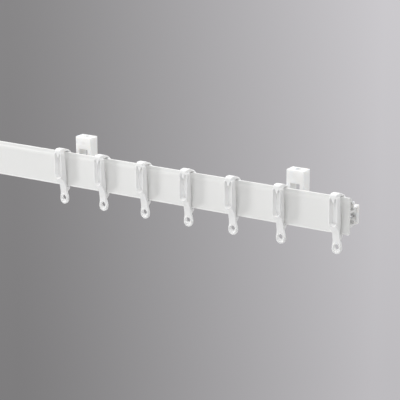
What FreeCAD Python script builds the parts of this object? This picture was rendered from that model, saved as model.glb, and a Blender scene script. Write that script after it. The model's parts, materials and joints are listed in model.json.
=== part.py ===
import FreeCAD, Part
import math
import os

# Curtain track with ceiling brackets, clip-over gliders and clamped end stops, in millimetres.
# Sections are drawn with y counted from the track's front face towards the wall and z from its middle height.
# The finished pieces are then moved so that the origin lies midway between the two ceiling screw holes.

# track
track_length = 400.0
track_height = 30.0
wall = 1.8
crown_setback = 0.55
lip_back = 7.5
lip_drop = 6.1
lean_radius = 12.0
lean_depth = 0.45
lean_drop = 2.4
bead_height = 1.0
bead_proud = 0.12
edge_round = 0.6

# channel along the back of the track
channel_wall = 1.5
channel_depth = 7.2
channel_top = 2.2
channel_height = 10.2
slot_height = 4.8

# brackets
bracket_spacing = 211.4
right_overhang = 54.8
bracket_width = 16.0
bracket_depth = 10.6
bracket_rise = 12.6
bracket_drop = 1.5
bracket_round = 0.6
seat_gap = 0.2
tunnel_width = 8.5
tunnel_roof_rise = 1.4
yoke_rise = 0.9
yoke_depth = 4.0
screw_hole_radius = 2.5
screw_head_radius = 4.0
mark_drop = 5.9
mark_radius = 2.0
mark_depth = 0.15
foot_width = 12.0
foot_slit = 1.2
barb_overlap = 1.3
barb_length = 4.2
snap_gap = 0.3

# gliders
glider_places = (-118.2, -75.7, -32.2, 11.7, 55.3, 100.3, 150.9)
glide_gap = 0.45
bridge_width = 6.2
bridge_thickness = 2.0
cap_rise = 4.4
cap_round = 2.0
arch_front = -3.7
arch_rise = 1.4
arch_round = 6.0
under_rise = 0.8
hook_tip = 1.6
tip_round = 0.7
loop_front = -9.6
loop_thickness = 4.6
loop_width = 7.6
loop_rise = 2.6
loop_lift = 7.0
loop_round = 2.8
rim_width = 0.8
rim_chamfer = 0.3
pocket_floor_width = 3.4
pocket_web = 1.0
nib_width = 4.0
nib_tip_width = 1.0
nib_inset = 0.2
nib_thickness = 2.0
nib_drop = 3.4
stem_width = 6.4
stem_thickness = 2.2
stem_middle = -2.8
bend_lift = 9.5
bend_rise = 2.2
bend_radius = 8.0
eyelet_middle = -0.9
eyelet_drop = 10.6
eyelet_radius = 4.1
eyelet_end = 1.8
eyelet_hole_radius = 2.1
eyelet_funnel = 5.4
lug_width = 4.4
lug_thickness = 2.4
lug_gap = 1.6
lug_rise = 2.5
lug_slant = 3.6
edge_chamfer = 0.5

# end stops
stop_length = 9.0
stop_tab_length = 4.0
stop_inset = 0.4
plug_gap = 0.3
plug_front_gap = 1.4
plate_gap = 4.4
plate_thickness = 3.3
plate_rise = 2.0
plate_drop = 0.6
tab_thickness = 1.6
tab_rise = 1.3
arm_gap = 0.3
stop_screw_radius = 1.5
stop_screw_head_radius = 2.7
stop_screw_head_height = 1.5
stop_screw_head_round = 0.6
stop_screw_slot_width = 0.6
stop_screw_slot_depth = 0.7
screw_fit = 0.05

# places that follow from the sizes above
half_height = track_height / 2
lip_half = wall / 2
crown = FreeCAD.Vector(0, crown_setback + lip_half, half_height - lip_half)
lip_end = FreeCAD.Vector(0, lip_back - lip_half, half_height - lip_drop)
slope = (lip_end - crown).normalize()
slope_out = FreeCAD.Vector(0, -slope.z, slope.y)
channel_back = wall + channel_depth + channel_wall
channel_floor = channel_top - channel_height
channel_roof = channel_top + channel_wall
channel_base = channel_floor - channel_wall
slot_middle = channel_top - channel_height / 2
slot_top = slot_middle + slot_height / 2
slot_bottom = slot_middle - slot_height / 2
hollow_back = wall + channel_depth
bracket_front = channel_back + seat_gap
bracket_middle = bracket_front + bracket_depth / 2
bracket_top = half_height + bracket_rise
bracket_bottom = channel_base - bracket_drop
tunnel_roof = half_height + tunnel_roof_rise
tunnel_floor = channel_roof + yoke_rise
plate_front = channel_back + plate_gap
loop_top = half_height + loop_rise
loop_bottom = loop_lift - half_height
under_height = half_height + under_rise
eyelet_height = -half_height - eyelet_drop
right_end = bracket_spacing / 2 + right_overhang
left_end = right_end - track_length
to_frame = FreeCAD.Vector(0, -bracket_middle, -bracket_top)
along = FreeCAD.Vector(1, 0, 0)
backward = FreeCAD.Vector(0, 1, 0)
upward = FreeCAD.Vector(0, 0, 1)


def side_point(y, z):
    return FreeCAD.Vector(0, y, z)


def front_point(x, z):
    return FreeCAD.Vector(x, 0, z)


def corner_cut(before, corner, after, radius):
    # the two tangent points and the middle of the arc that rounds one corner
    back = (before - corner).normalize()
    ahead = (after - corner).normalize()
    half_turn = back.getAngle(ahead) / 2
    reach = radius / math.tan(half_turn)
    bisector = (back + ahead).normalize()
    middle = corner + bisector * (radius / math.sin(half_turn) - radius)
    return corner + back * reach, middle, corner + ahead * reach


def rounded_face(corners):
    # closed outline of straight runs, each corner given as its point and its radius
    edges = []
    stops = []
    count = len(corners)
    for index in range(count):
        point, radius = corners[index]
        if radius > 0:
            before = corners[index - 1][0]
            after = corners[(index + 1) % count][0]
            start, middle, end = corner_cut(before, point, after, radius)
            stops.append((start, end, Part.Arc(start, middle, end).toShape()))
        else:
            stops.append((point, point, None))
    for index in range(count):
        start, end, arc = stops[index]
        following = stops[(index + 1) % count][0]
        if arc is not None:
            edges.append(arc)
        if end.distanceToPoint(following) > 1e-6:
            edges.append(Part.makeLine(end, following))
    return Part.Face(Part.Wire(Part.__sortEdges__(edges)))


def side_prism(corners, width):
    # a side outline carried across the width, centred on x = 0
    face = rounded_face(corners)
    face.translate(along * (-width / 2))
    return face.extrude(along * width)


def flat_side_edges(solid, normal):
    # edges that bound the two flat ends of a prism
    edges = []
    for face in solid.Faces:
        if face.Surface.TypeId == "Part::GeomPlane" and abs(face.normalAt(0, 0).dot(normal)) > 0.999:
            edges.extend(face.Edges)
    return edges


def box(low, high):
    size = high - low
    return Part.makeBox(size.x, size.y, size.z, low)


def placed(solid, x):
    copy = solid.removeSplitter()
    copy.translate(to_frame + along * x)
    return copy


def make_track():
    # one extruded section: bottom bead, flat face leaning back below the crown, rear lip and rear channel
    lean_tilt = math.acos(1 - lean_depth / lean_radius)
    lean_top = half_height - lean_drop
    lean_corner = lean_top - lean_depth / math.tan(lean_tilt)
    lip_tip_outer = lip_end + slope * lip_half + slope_out * lip_half
    lip_tip_inner = lip_end + slope * lip_half - slope_out * lip_half
    crown_top = crown + slope_out * lip_half
    crown_run = (half_height - crown_top.z) / slope.z
    crown_corner = crown_top + slope * crown_run
    inner_start = crown - slope_out * lip_half
    inner_run = (wall - inner_start.y) / slope.y
    lip_root = inner_start + slope * inner_run
    small = edge_round / 2
    corners = [
        (side_point(-bead_proud, -half_height), edge_round),
        (side_point(-bead_proud, bead_height - half_height), bead_proud),
        (side_point(0, bead_height + bead_proud - half_height), bead_proud),
        (side_point(0, lean_corner), lean_radius),
        (side_point(lean_depth, lean_top), lean_drop),
        (side_point(crown_setback, half_height), edge_round),
        (crown_corner, lip_half),
        (lip_tip_outer, lip_half),
        (lip_tip_inner, lip_half),
        (lip_root, edge_round),
        (side_point(wall, channel_roof), edge_round),
        (side_point(channel_back, channel_roof), edge_round),
        (side_point(channel_back, slot_top), small),
        (side_point(hollow_back, slot_top), small),
        (side_point(hollow_back, channel_top), small),
        (side_point(wall, channel_top), small),
        (side_point(wall, channel_floor), small),
        (side_point(hollow_back, channel_floor), small),
        (side_point(hollow_back, slot_bottom), small),
        (side_point(channel_back, slot_bottom), small),
        (side_point(channel_back, channel_base), edge_round),
        (side_point(wall, channel_base), edge_round),
        (side_point(wall, -half_height), edge_round),
    ]
    solid = side_prism(corners, track_length)
    return placed(solid, (left_end + right_end) / 2)


def make_bracket_foot():
    # split arrow that snaps through the slot and spreads behind the channel's two lips
    neck_top = slot_top - snap_gap
    neck_bottom = slot_bottom + snap_gap
    shoulder = hollow_back - snap_gap
    nose = shoulder - barb_length
    root = bracket_front + yoke_depth / 2
    corners = [
        (side_point(root, neck_top), 0),
        (side_point(shoulder, neck_top), 0),
        (side_point(shoulder, neck_top + barb_overlap), 0),
        (side_point(shoulder - barb_overlap / 2, neck_top + barb_overlap), 0),
        (side_point(nose, slot_middle + foot_slit), 0),
        (side_point(nose, slot_middle - foot_slit), 0),
        (side_point(shoulder - barb_overlap / 2, neck_bottom - barb_overlap), 0),
        (side_point(shoulder, neck_bottom - barb_overlap), 0),
        (side_point(shoulder, neck_bottom), 0),
        (side_point(root, neck_bottom), 0),
    ]
    arrow = side_prism(corners, foot_width)
    slit_low = FreeCAD.Vector(-foot_width, nose - 1, slot_middle - foot_slit / 2)
    slit_high = FreeCAD.Vector(foot_width, bracket_front, slot_middle + foot_slit / 2)
    return arrow.cut(box(slit_low, slit_high))


def make_bracket():
    # moulded block with two legs, a yoke between them behind the channel and a snap foot
    half = bracket_width / 2
    back = bracket_front + bracket_depth
    body = box(FreeCAD.Vector(-half, bracket_front, bracket_bottom), FreeCAD.Vector(half, back, bracket_top))
    body = body.makeFillet(bracket_round, body.Edges)
    tunnel_half = tunnel_width / 2
    tunnel_low = FreeCAD.Vector(-tunnel_half, bracket_front - 1, tunnel_floor)
    tunnel_high = FreeCAD.Vector(tunnel_half, back + 1, tunnel_roof)
    body = body.cut(box(tunnel_low, tunnel_high))
    recess_low = FreeCAD.Vector(-tunnel_half, bracket_front + yoke_depth, bracket_bottom - 1)
    recess_high = FreeCAD.Vector(tunnel_half, back + 1, tunnel_floor)
    body = body.cut(box(recess_low, recess_high))
    hole_start = FreeCAD.Vector(0, bracket_middle, tunnel_roof - 1)
    hole = Part.makeCylinder(screw_hole_radius, bracket_top - tunnel_roof + 2, hole_start, upward)
    sink_depth = screw_head_radius - screw_hole_radius
    sink_start = FreeCAD.Vector(0, bracket_middle, tunnel_roof)
    sink = Part.makeCone(screw_head_radius, screw_hole_radius, sink_depth, sink_start, upward)
    mark_start = FreeCAD.Vector(0, bracket_front + mark_depth, bracket_top - mark_drop)
    mark = Part.makeCylinder(mark_radius, 1 + mark_depth, mark_start, -backward)
    body = body.cut(hole.fuse(sink)).cut(mark)
    return body.fuse(make_bracket_foot())


def make_bridge():
    # side outline of the cap over the front loop, the arch over the crown and the hook round the lip's end
    inner = lip_half + glide_gap
    outer = inner + bridge_thickness
    arm_inner = lip_end + slope_out * inner
    arm_outer = lip_end + slope_out * outer
    throat = arm_inner + slope * ((under_height - arm_inner.z) / slope.z)
    arch = arm_outer + slope * ((half_height + arch_rise - arm_outer.z) / slope.z)
    cap_top = half_height + cap_rise
    corners = [
        (side_point(loop_front, under_height), 0),
        (side_point(loop_front, cap_top), cap_round),
        (side_point(arch_front, cap_top), arch_round),
        (arch, arch_round),
        (arm_outer + slope * outer, outer),
        (lip_end - slope_out * outer + slope * outer, outer),
        (lip_end - slope_out * outer - slope * hook_tip, tip_round),
        (lip_end - slope_out * inner - slope * hook_tip, tip_round),
        (lip_end - slope_out * inner + slope * inner, inner),
        (arm_inner + slope * inner, inner),
        (throat, 0),
    ]
    solid = side_prism(corners, bridge_width)
    return solid.makeChamfer(edge_chamfer, flat_side_edges(solid, along))


def oblong(half, bottom, top, round_top, y):
    # outline with a round bottom and rounded top corners, at one depth
    outline = rounded_face([
        (front_point(-half, top), round_top),
        (front_point(half, top), round_top),
        (front_point(half, bottom), half),
        (front_point(-half, bottom), half),
    ])
    outline.translate(backward * y)
    return outline


def make_loop():
    # front body, round at its foot
    half = loop_width / 2
    body = oblong(half, loop_bottom, loop_top, loop_round, loop_front).extrude(backward * loop_thickness)
    return body.makeChamfer(rim_chamfer, flat_side_edges(body, backward))


def make_pocket():
    # hollow of the front body, narrowing towards its floor
    mouth_half = loop_width / 2 - rim_width
    floor_half = pocket_floor_width / 2
    narrowing = mouth_half - floor_half
    mouth = oblong(mouth_half, loop_bottom + rim_width, under_height, floor_half, loop_front)
    floor_bottom = loop_bottom + rim_width + narrowing
    floor_depth = loop_front + loop_thickness - pocket_web
    floor = oblong(floor_half, floor_bottom, under_height, floor_half / 2, floor_depth)
    return Part.makeLoft([mouth.OuterWire, floor.OuterWire], True, True)


def make_stem():
    # stem that tapers back from the front body, runs past the track and carries the eyelet
    thick_half = stem_thickness / 2
    bend_top = bend_lift - half_height
    bend_bottom = bend_rise - half_height
    straight_top = eyelet_height + eyelet_hole_radius
    round_height = eyelet_height - eyelet_end
    bottom = round_height - eyelet_radius
    half = loop_width / 2
    corners = [
        (side_point(loop_front, loop_top), 0),
        (side_point(loop_front, bend_top), bend_radius),
        (side_point(stem_middle - thick_half, bend_bottom), bend_radius),
        (side_point(eyelet_middle - thick_half, straight_top), bend_radius),
        (side_point(eyelet_middle - thick_half, bottom), 0),
        (side_point(eyelet_middle + thick_half, bottom), 0),
        (side_point(eyelet_middle + thick_half, straight_top), bend_radius),
        (side_point(stem_middle + thick_half, bend_bottom), bend_radius),
        (side_point(loop_front + loop_thickness, loop_top), 0),
    ]
    profile = side_prism(corners, 2 * max(eyelet_radius, loop_width))
    stem_half = stem_width / 2
    outline = rounded_face([
        (front_point(-half, under_height), 0),
        (front_point(half, under_height), 0),
        (front_point(half, bend_top), eyelet_funnel),
        (front_point(stem_half, bend_bottom), eyelet_funnel),
        (front_point(stem_half, eyelet_height + eyelet_funnel), eyelet_funnel),
        (front_point(eyelet_radius, eyelet_height), eyelet_end),
        (front_point(eyelet_radius, bottom), eyelet_radius),
        (front_point(-eyelet_radius, bottom), eyelet_radius),
        (front_point(-eyelet_radius, eyelet_height), eyelet_end),
        (front_point(-stem_half, eyelet_height + eyelet_funnel), eyelet_funnel),
        (front_point(-stem_half, bend_bottom), eyelet_funnel),
        (front_point(-half, bend_top), eyelet_funnel),
    ])
    depth = stem_thickness - loop_front
    plate = outline.extrude(backward * (2 * depth))
    hole_start = FreeCAD.Vector(0, 0, eyelet_height)
    plate = plate.cut(Part.makeCylinder(eyelet_hole_radius, 2 * depth, hole_start, backward))
    plate.translate(backward * -depth)
    return profile.common(plate)


def make_lug():
    # lug that slants down from under the bottom edge to the stem, and stands up behind the edge
    inner_back = wall + glide_gap
    outer_back = inner_back + lug_thickness
    inner_floor = -half_height - lug_gap
    outer_floor = inner_floor - lug_thickness
    top = lug_rise - half_height
    corners = [
        (side_point(eyelet_middle, inner_floor - lug_slant / 2), 0),
        (side_point(-glide_gap, inner_floor), 0),
        (side_point(inner_back, inner_floor), glide_gap),
        (side_point(inner_back, top), tip_round),
        (side_point(outer_back, top), tip_round),
        (side_point(outer_back, outer_floor), lug_thickness),
        (side_point(eyelet_middle, outer_floor - lug_slant), 0),
    ]
    solid = side_prism(corners, lug_width)
    return solid.makeChamfer(edge_chamfer, flat_side_edges(solid, along))


def make_nib():
    # tongue under the cap, narrowing downwards, that keeps the bridge from swinging forward
    top_half = nib_width / 2
    tip_half = nib_tip_width / 2
    tip = half_height - nib_drop
    outline = rounded_face([
        (front_point(-top_half, under_height + edge_chamfer), 0),
        (front_point(top_half, under_height + edge_chamfer), 0),
        (front_point(tip_half, tip), tip_half / 2),
        (front_point(-tip_half, tip), tip_half / 2),
    ])
    nib = outline.extrude(backward * nib_thickness)
    nib.translate(backward * (loop_front + nib_inset))
    return nib


def make_glider():
    solid = make_bridge().fuse(make_loop())
    solid = solid.fuse(make_stem()).cut(make_pocket())
    solid = solid.fuse(make_lug())
    return solid.fuse(make_nib())


def make_end_stop(side):
    # plug in the channel, neck through the slot, plate behind it and a tab that stops the gliders' hooks
    outer = -stop_inset
    inner = outer - stop_length
    plug_low = FreeCAD.Vector(inner, wall + plug_front_gap, channel_floor + plug_gap)
    plug_high = FreeCAD.Vector(outer, hollow_back - plug_gap, channel_top - plug_gap)
    neck_low = FreeCAD.Vector(inner, hollow_back - 1, slot_bottom + snap_gap)
    neck_high = FreeCAD.Vector(outer, plate_front + 1, slot_top - snap_gap)
    plate_low = FreeCAD.Vector(inner, plate_front, channel_base - plate_drop)
    plate_top = channel_roof + plate_rise
    plate_high = FreeCAD.Vector(outer, plate_front + plate_thickness, plate_top)
    arm_floor = channel_roof + arm_gap
    tab_back = lip_end.y + lip_half + glide_gap + tab_thickness
    arm_low = FreeCAD.Vector(outer - stop_tab_length, tab_back - tab_thickness, arm_floor)
    arm_high = FreeCAD.Vector(outer, plate_front + 1, plate_top)
    tab_high = FreeCAD.Vector(outer, tab_back, lip_end.z + tab_rise)
    plate = box(plate_low, plate_high)
    plate = plate.makeFillet(edge_round, plate.Edges)
    solid = box(plug_low, plug_high).fuse(box(neck_low, neck_high)).fuse(plate)
    solid = solid.fuse(box(arm_low, arm_high)).fuse(box(arm_low, tab_high))
    hole_start = FreeCAD.Vector((inner + outer) / 2, 0, slot_middle)
    hole = Part.makeCylinder(stop_screw_radius + screw_fit, plate_front * 2, hole_start, backward)
    return on_side(solid.cut(hole), side)


def make_stop_screw(side):
    # slotted screw that bears on the back of the front wall and wedges the plug against the lips
    middle = -stop_inset - stop_length / 2
    head_start = plate_front + plate_thickness
    shank_base = FreeCAD.Vector(middle, wall, slot_middle)
    shank = Part.makeCylinder(stop_screw_radius, head_start - wall, shank_base, backward)
    head_base = FreeCAD.Vector(middle, head_start, slot_middle)
    head = Part.makeCylinder(stop_screw_head_radius, stop_screw_head_height, head_base, backward)
    head = head.makeFillet(stop_screw_head_round, [head.Edges[0]])
    slot_half = stop_screw_slot_width / 2
    slot_floor = head_start + stop_screw_head_height - stop_screw_slot_depth
    reach = stop_screw_head_radius + 1
    slot_low = FreeCAD.Vector(middle - reach, slot_floor, slot_middle - slot_half)
    slot_high = FreeCAD.Vector(middle + reach, slot_floor + reach, slot_middle + slot_half)
    return on_side(shank.fuse(head).cut(box(slot_low, slot_high)), side)


def on_side(solid, side):
    # a piece drawn at the right end, mirrored for the left end
    if side == "left":
        return solid.mirror(FreeCAD.Vector(0, 0, 0), along)
    return solid


os.makedirs("parts", exist_ok=True)
make_track().exportStep("parts/track.step")

bracket = make_bracket()
glider = make_glider()
ends = {"left": left_end, "right": right_end}
bracket_places = {"left": -bracket_spacing / 2, "right": bracket_spacing / 2}
for side in ends:
    placed(bracket, bracket_places[side]).exportStep("parts/bracket_" + side + ".step")
    placed(make_end_stop(side), ends[side]).exportStep("parts/end_stop_" + side + ".step")
    placed(make_stop_screw(side), ends[side]).exportStep("parts/end_stop_screw_" + side + ".step")
for number, place in enumerate(glider_places, start=1):
    placed(glider, place).exportStep("parts/glider_" + str(number) + ".step")
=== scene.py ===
import json
import math
import bmesh
import bpy
import numpy as np
from mathutils import Matrix, Vector


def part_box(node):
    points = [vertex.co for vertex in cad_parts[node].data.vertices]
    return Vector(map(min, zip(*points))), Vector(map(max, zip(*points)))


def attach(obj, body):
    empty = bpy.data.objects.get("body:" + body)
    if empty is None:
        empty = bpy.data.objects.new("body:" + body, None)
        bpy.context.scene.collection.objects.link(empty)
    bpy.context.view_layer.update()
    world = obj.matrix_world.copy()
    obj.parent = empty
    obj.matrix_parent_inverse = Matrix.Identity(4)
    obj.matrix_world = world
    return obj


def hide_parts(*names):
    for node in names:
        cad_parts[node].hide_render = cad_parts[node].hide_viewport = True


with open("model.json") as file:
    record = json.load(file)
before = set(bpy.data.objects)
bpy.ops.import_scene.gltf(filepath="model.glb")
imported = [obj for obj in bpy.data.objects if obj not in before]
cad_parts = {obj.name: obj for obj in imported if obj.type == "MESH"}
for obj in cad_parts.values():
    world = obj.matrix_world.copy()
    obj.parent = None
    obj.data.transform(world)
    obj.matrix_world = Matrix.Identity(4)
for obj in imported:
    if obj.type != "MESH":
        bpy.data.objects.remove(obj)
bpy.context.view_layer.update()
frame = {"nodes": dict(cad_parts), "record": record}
scene = bpy.context.scene
nodes = frame["nodes"]
print("frame loaded:", len(nodes), "nodes")

# the camera stands to the right of the track and a little above it
viewpoint = {"pivot": (0.0224, -0.016, -0.0349), "azimuth": 32.6, "elevation": 15.8, "distance": 1.241,
             "sensor": 36.0, "lens": 134.82}


def makeCamera(v):
    a, e = math.radians(v["azimuth"]), math.radians(v["elevation"])
    forward = Vector((-math.sin(a) * math.cos(e), math.cos(a) * math.cos(e), -math.sin(e)))
    lens = bpy.data.cameras.new("camera")
    lens.sensor_width = v["sensor"]
    lens.lens = v["lens"]
    cam = bpy.data.objects.new("camera", lens)
    scene.collection.objects.link(cam)
    place = Vector(v["pivot"]) - forward * v["distance"]
    cam.matrix_world = Matrix.Translation(place) @ forward.to_track_quat("-Z", "Y").to_matrix().to_4x4()
    scene.camera = cam


makeCamera(viewpoint)
print("camera set")


def gridMesh(name, points):
    # a surface from an array of rows x columns x 3, each cell one quad
    rows, cols = points.shape[:2]
    index = np.arange(rows * cols).reshape(rows, cols)
    quads = np.stack([index[:-1, :-1], index[:-1, 1:], index[1:, 1:], index[1:, :-1]], axis=-1).reshape(-1, 4)
    mesh = bpy.data.meshes.new(name)
    mesh.from_pydata(points.reshape(-1, 3).tolist(), [], quads.tolist())
    mesh.polygons.foreach_set("use_smooth", np.ones(len(quads), dtype=bool))
    obj = bpy.data.objects.new(name, mesh)
    scene.collection.objects.link(obj)
    return obj


def newMaterial(name):
    mat = bpy.data.materials.new(name)
    mat.use_nodes = True
    return mat, mat.node_tree


def link(tree, *pairs):
    for source, target in pairs:
        tree.links.new(source, target)


def maths(tree, operation):
    node = tree.nodes.new("ShaderNodeMath")
    node.operation = operation
    return node


def mapRange(tree, given=(0.0, 1.0), wanted=(0.0, 1.0)):
    node = tree.nodes.new("ShaderNodeMapRange")
    for socket, value in zip(("From Min", "From Max", "To Min", "To Max"), (*given, *wanted)):
        node.inputs[socket].default_value = value
    return node


def colourMix(tree, low, high):
    # a colour mix has its two colours at inputs 6 and 7, and its result at output 2
    node = tree.nodes.new("ShaderNodeMix")
    node.data_type = "RGBA"
    node.inputs[6].default_value = (*low, 1)
    node.inputs[7].default_value = (*high, 1)
    return node.inputs["Factor"], node.outputs[2]


# studio: a pale floor that curves up into a grey wall, darker on the left and lighter on the right
studio = {"floor": -1.9, "wall": 2.4, "cove": 0.5, "half": 18.0, "front": -18.0, "top": 7.0, "edge": 0.02,
          "turnSteps": 13, "acrossSteps": 9,
          "left": (0.246, 0.241, 0.246), "right": (0.603, 0.590, 0.613), "span": (-0.46, 0.46), "bend": 1.25,
          "dusk": 0.85, "duskSpan": (-1.2, -0.2), "floorColour": (0.82, 0.82, 0.82)}


def makeStudio(s):
    # profile: level run, quarter turn of the cove radius, upright run; carried sideways, square to the view
    turn = np.linspace(0, np.pi / 2, s["turnSteps"])
    run = np.concatenate([[s["front"]], s["wall"] - s["cove"] + s["cove"] * np.sin(turn), [s["wall"]]])
    rise = np.concatenate([[s["floor"]], s["floor"] + s["cove"] * (1 - np.cos(turn)), [s["top"]]])
    a = math.radians(viewpoint["azimuth"])
    ahead = np.array([-math.sin(a), math.cos(a)])
    aside = np.array([math.cos(a), math.sin(a)])
    across = np.linspace(-s["half"], s["half"], s["acrossSteps"])
    points = np.zeros((len(run), len(across), 3))
    points[..., :2] = run[:, None, None] * ahead + across[None, :, None] * aside
    points[..., 2] = rise[:, None]
    sweep = gridMesh("studio_sweep", points)
    sweep.data.materials.append(studioGrey("studio_grey", s, aside))


def studioGrey(name, s, aside):
    # the wall glows by how far aside and how high a point lies, for camera, glossy and transmission rays alone
    mat, tree = newMaterial(name)
    tree.nodes.clear()
    out = tree.nodes.new("ShaderNodeOutputMaterial")
    coords = tree.nodes.new("ShaderNodeTexCoord")
    side = tree.nodes.new("ShaderNodeVectorMath")
    side.operation = "DOT_PRODUCT"
    side.inputs[1].default_value = (aside[0], aside[1], 0)
    spread = mapRange(tree, given=s["span"])
    bend = maths(tree, "POWER")
    bend.inputs[1].default_value = s["bend"]
    shadeFactor, shade = colourMix(tree, s["left"], s["right"])
    split = tree.nodes.new("ShaderNodeSeparateXYZ")
    dusk = mapRange(tree, given=s["duskSpan"], wanted=(s["dusk"], 1.0))
    lift = mapRange(tree, given=(s["floor"] + s["edge"], s["floor"] + s["cove"]))
    glow = tree.nodes.new("ShaderNodeEmission")
    plain = tree.nodes.new("ShaderNodeBsdfDiffuse")
    plain.inputs["Color"].default_value = (*s["floorColour"], 1)
    path = tree.nodes.new("ShaderNodeLightPath")
    mirrored = maths(tree, "MAXIMUM")
    shown = maths(tree, "MAXIMUM")
    seen = maths(tree, "MULTIPLY")
    mixed = tree.nodes.new("ShaderNodeMixShader")
    link(tree, (coords.outputs["Object"], side.inputs[0]), (side.outputs["Value"], spread.inputs["Value"]),
         (spread.outputs["Result"], bend.inputs[0]), (bend.outputs[0], shadeFactor),
         (shade, glow.inputs["Color"]),
         (coords.outputs["Object"], split.inputs[0]), (split.outputs["Z"], lift.inputs["Value"]),
         (split.outputs["Z"], dusk.inputs["Value"]), (dusk.outputs["Result"], glow.inputs["Strength"]),
         (path.outputs["Is Glossy Ray"], mirrored.inputs[0]),
         (path.outputs["Is Transmission Ray"], mirrored.inputs[1]),
         (path.outputs["Is Camera Ray"], shown.inputs[0]), (mirrored.outputs[0], shown.inputs[1]),
         (lift.outputs["Result"], seen.inputs[0]), (shown.outputs[0], seen.inputs[1]),
         (seen.outputs[0], mixed.inputs[0]), (plain.outputs[0], mixed.inputs[1]),
         (glow.outputs[0], mixed.inputs[2]), (mixed.outputs[0], out.inputs["Surface"]))
    return mat


makeStudio(studio)

# soft light: a window in front and to the left, a pale card behind on the right, an overhead cloth,
# a low bounce and an even fill
lamps = {"window": {"place": (-1.4, -1.15, 0.35), "size": 0.5, "power": 11.0},
         "card": {"place": (1.35, 1.05, 0.05), "size": 1.0, "power": 6.0},
         "overhead": {"place": (0.0, 0.0, 1.6), "size": 2.4, "power": 40.0},
         "bounce": {"place": (0.1, -1.1, -1.0), "size": 1.2, "power": 7.0}}
lampAim = (0.02, -0.016, -0.035)
fill = {"colour": (1.0, 1.0, 1.0), "strength": 0.40}


def makeLight():
    for name, lamp in lamps.items():
        data = bpy.data.lights.new(name, "AREA")
        data.size = lamp["size"]
        data.energy = lamp["power"]
        obj = bpy.data.objects.new(name, data)
        scene.collection.objects.link(obj)
        place = Vector(lamp["place"])
        turn = (Vector(lampAim) - place).to_track_quat("-Z", "Y").to_matrix().to_4x4()
        obj.matrix_world = Matrix.Translation(place) @ turn
    world = bpy.data.worlds.new("fill")
    world.use_nodes = True
    back = world.node_tree.nodes["Background"]
    back.inputs["Color"].default_value = (*fill["colour"], 1)
    back.inputs["Strength"].default_value = fill["strength"]
    scene.world = world
    scene.view_settings.view_transform = "Standard"


makeLight()
print("studio lit")

# finishes: colour, roughness, grain, bump and milkiness of each white plastic
finishes = {
    "track_white": {"colour": (0.82, 0.82, 0.81), "rough": (0.30, 0.42), "grain": (6.0, 900.0, 900.0),
                    "bump": 0.02, "milk": 0.06},
    "moulded_white": {"colour": (0.88, 0.88, 0.875), "rough": (0.36, 0.50), "grain": (2600.0, 2600.0, 2600.0),
                      "bump": 0.04, "milk": 0.85},
    "glider_white": {"colour": (0.895, 0.895, 0.893), "rough": (0.28, 0.42), "grain": (1500.0, 1500.0, 1500.0),
                     "bump": 0.02, "milk": 0.12},
}
# what the white plastics share; the cloud is a faint darkening in broad patches
plastic = {"refraction": 1.49, "milkDepth": 0.004, "milkReach": (1.0, 0.95, 0.9), "grainDetail": 3.0,
           "bumpDepth": 0.0002, "cloud": 0.985, "cloudScale": 45.0}


def whitePlastic(name, f):
    # fine noise, stretched along the extrusion on the track, moves the roughness and a very low bump
    mat, tree = newMaterial(name)
    bsdf = tree.nodes["Principled BSDF"]
    coords = tree.nodes.new("ShaderNodeTexCoord")
    stretch = tree.nodes.new("ShaderNodeMapping")
    stretch.inputs["Scale"].default_value = f["grain"]
    noise = tree.nodes.new("ShaderNodeTexNoise")
    noise.inputs["Scale"].default_value = 1.0
    noise.inputs["Detail"].default_value = plastic["grainDetail"]
    rough = mapRange(tree, wanted=f["rough"])
    broad = tree.nodes.new("ShaderNodeTexNoise")
    broad.inputs["Scale"].default_value = plastic["cloudScale"]
    tintFactor, tint = colourMix(tree, [c * plastic["cloud"] for c in f["colour"]], f["colour"])
    bump = tree.nodes.new("ShaderNodeBump")
    bump.inputs["Strength"].default_value = f["bump"]
    bump.inputs["Distance"].default_value = plastic["bumpDepth"]
    link(tree, (coords.outputs["Object"], stretch.inputs["Vector"]),
         (stretch.outputs["Vector"], noise.inputs["Vector"]),
         (noise.outputs["Fac"], rough.inputs["Value"]), (rough.outputs["Result"], bsdf.inputs["Roughness"]),
         (coords.outputs["Object"], broad.inputs["Vector"]), (broad.outputs["Fac"], tintFactor),
         (tint, bsdf.inputs["Base Color"]), (noise.outputs["Fac"], bump.inputs["Height"]),
         (bump.outputs["Normal"], bsdf.inputs["Normal"]))
    bsdf.inputs["IOR"].default_value = plastic["refraction"]
    bsdf.inputs["Subsurface Weight"].default_value = f["milk"]
    bsdf.inputs["Subsurface Radius"].default_value = plastic["milkReach"]
    bsdf.inputs["Subsurface Scale"].default_value = plastic["milkDepth"]
    return mat


plating = {"dull": (0.50, 0.50, 0.52), "bright": (0.66, 0.66, 0.67), "rough": (0.26, 0.46), "spangle": 1400.0}


def platedSteel(name, p):
    # small cells of the zinc coat move the colour and the roughness together
    mat, tree = newMaterial(name)
    bsdf = tree.nodes["Principled BSDF"]
    bsdf.inputs["Metallic"].default_value = 1.0
    coords = tree.nodes.new("ShaderNodeTexCoord")
    cells = tree.nodes.new("ShaderNodeTexVoronoi")
    cells.inputs["Scale"].default_value = p["spangle"]
    rough = mapRange(tree, wanted=p["rough"])
    tintFactor, tint = colourMix(tree, p["dull"], p["bright"])
    link(tree, (coords.outputs["Object"], cells.inputs["Vector"]),
         (cells.outputs["Distance"], rough.inputs["Value"]), (rough.outputs["Result"], bsdf.inputs["Roughness"]),
         (cells.outputs["Distance"], tintFactor), (tint, bsdf.inputs["Base Color"]))
    return mat


materials = {name: whitePlastic(name, f) for name, f in finishes.items()}
materials["screw_steel"] = platedSteel("screw_steel", plating)
for part in frame["record"]["subparts"]:
    mesh = nodes[part["node"]].data
    mesh.materials.clear()
    mesh.materials.append(materials[part["material_slot"]])

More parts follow.
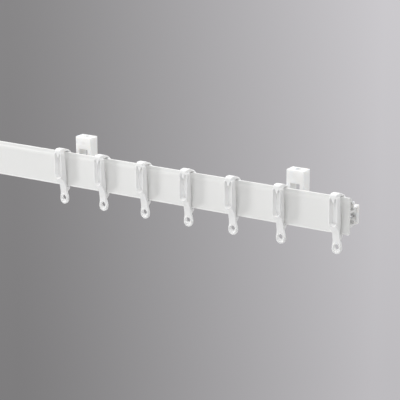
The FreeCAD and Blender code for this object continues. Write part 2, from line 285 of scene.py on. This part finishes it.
# bead round each eyelet: a round section carried round an egg-shaped ring on the eyelet's front
bead = {"section": 0.00062, "front": 0.0010, "wide": 0.00318, "taper": 0.00030, "tall": 0.0037, "drop": 0.0009,
        "around": 72, "across": 14}


def eyeletBead(name, eye, b):
    # ring: x = (wide + taper cos t) sin t, z = -drop - tall cos t
    # section: a circle in the plane of the ring's outward line and y
    t = np.linspace(0, 2 * np.pi, b["around"] + 1)[:, None]
    u = np.linspace(0, 2 * np.pi, b["across"] + 1)[None, :]
    ringX = (b["wide"] + b["taper"] * np.cos(t)) * np.sin(t)
    ringZ = -b["drop"] - b["tall"] * np.cos(t)
    slopeX = np.gradient(ringX[:, 0])[:, None]
    slopeZ = np.gradient(ringZ[:, 0])[:, None]
    length = np.hypot(slopeX, slopeZ)
    outX, outZ = slopeZ / length, -slopeX / length
    points = np.zeros((t.size, u.size, 3))
    points[..., 0] = eye[0] + ringX + b["section"] * np.cos(u) * outX
    points[..., 1] = eye[1] - b["front"] + b["section"] * np.sin(u)
    points[..., 2] = eye[2] + ringZ + b["section"] * np.cos(u) * outZ
    return gridMesh(name, points)


# moulded pieces: the solid taken to fine voxels and eased, so that every edge is a soft moulded one
skin = {"voxel": 0.00018, "easing": 0.5, "passes": 7}
blockSkin = {"voxel": 0.00020, "easing": 0.5, "passes": 5}
weld = 1e-6  # corners closer than this become one


def joinNode(piece, name):
    # the node's triangles go in beside what the piece already has, with their shared corners merged
    shell = bmesh.new()
    shell.from_mesh(piece.data)
    shell.from_mesh(nodes[name].data)
    bmesh.ops.remove_doubles(shell, verts=shell.verts, dist=weld)
    shell.to_mesh(piece.data)
    shell.free()


def copyNode(name):
    piece = bpy.data.objects.new("moulded_" + name, bpy.data.meshes.new("moulded_" + name))
    scene.collection.objects.link(piece)
    joinNode(piece, name)
    return piece


def soften(piece, name, body, slot, s):
    voxels = piece.modifiers.new("voxels", "REMESH")
    voxels.mode = "VOXEL"
    voxels.voxel_size = s["voxel"]
    voxels.use_smooth_shade = True
    ease = piece.modifiers.new("ease", "SMOOTH")
    ease.factor = s["easing"]
    ease.iterations = s["passes"]
    piece.data.materials.clear()
    piece.data.materials.append(materials[slot])
    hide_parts(name)
    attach(piece, body)


def softGlider(name, eye, s):
    piece = eyeletBead("moulded_" + name, eye, bead)
    joinNode(piece, name)
    soften(piece, name, name, "glider_white", s)


eyes = {mount["name"].removesuffix("_eye"): mount["pos_m"]
        for mount in frame["record"]["mounts"] if mount["name"].endswith("_eye")}
for name, eye in eyes.items():
    softGlider(name, eye, skin)
print("gliders moulded:", len(eyes))

# end stops: plug and neck stand back from the outer end, so that the plate's front shows past them
# and the screw lies in an open groove
endStop = {"recess": 0.0040, "past": 0.001, "front": (-0.0145, -0.0011), "height": (-0.0375, -0.0242)}


def recessedStop(name, e):
    # a box is cut away from the outer end inwards, which is to the left on the right stop
    low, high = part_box(name)
    if high[0] > 0:
        span = high[0] - e["recess"], high[0] + e["past"]
    else:
        span = low[0] - e["past"], low[0] + e["recess"]
    near, far = (Vector(corner) for corner in zip(span, e["front"], e["height"]))
    shell = bmesh.new()
    place = Matrix.Translation((near + far) / 2) @ Matrix.Diagonal((far - near).to_4d())
    bmesh.ops.create_cube(shell, size=1.0, matrix=place)
    cutter = bpy.data.objects.new("recess", bpy.data.meshes.new("recess"))
    shell.to_mesh(cutter.data)
    shell.free()
    scene.collection.objects.link(cutter)
    piece = copyNode(name)
    cut = piece.modifiers.new("cut", "BOOLEAN")
    cut.operation = "DIFFERENCE"
    cut.solver = "EXACT"
    cut.object = cutter
    bpy.context.view_layer.update()
    piece.data = bpy.data.meshes.new_from_object(piece.evaluated_get(bpy.context.evaluated_depsgraph_get()))
    piece.modifiers.clear()
    bpy.data.objects.remove(cutter)
    soften(piece, name, "rail", "moulded_white", skin)


for name in ("end_stop_left", "end_stop_right"):
    recessedStop(name, endStop)
for name in ("bracket_left", "bracket_right"):
    soften(copyNode(name), name, "rail", "moulded_white", blockSkin)
print("end stops and brackets moulded")

# ledge along the foot of the track's face: a sloped section carried from end to end, its ends drawn to a point
footLedge = {"rise": 0.0010, "proud": 0.0006, "nose": 0.00015, "buried": 0.0006, "inset": 0.0002,
             "face": -0.016, "foot": -0.0426, "crease": 25.0}


def trackLedge(name, g):
    # x runs along the track; the section shrinks to its own middle, by size nought, at both ends
    low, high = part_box("track")
    x = np.array([low[0], low[0], high[0], high[0]]) + g["inset"] * np.array([1, 1, -1, -1])
    size = np.array([0, 1, 1, 0])[:, None]
    out = g["face"] - np.array([0, g["proud"], g["proud"], -g["buried"], -g["buried"], 0])
    up = g["foot"] + np.array([g["rise"], g["nose"], 0, 0, g["rise"], g["rise"]])
    middle = np.array([out[:-1].mean(), up[:-1].mean()])
    points = np.zeros((x.size, out.size, 3))
    points[..., 0] = x[:, None]
    points[..., 1] = middle[0] + size * (out - middle[0])
    points[..., 2] = middle[1] + size * (up - middle[1])
    piece = gridMesh(name, points)
    shell = bmesh.new()
    shell.from_mesh(piece.data)
    bmesh.ops.remove_doubles(shell, verts=shell.verts, dist=weld)
    bmesh.ops.recalc_face_normals(shell, faces=shell.faces)
    shell.to_mesh(piece.data)
    shell.free()
    piece.data.set_sharp_from_angle(angle=math.radians(g["crease"]))
    piece.data.materials.append(materials["track_white"])
    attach(piece, "rail")


trackLedge("track_foot_ledge", footLedge)
print("track ledge laid")
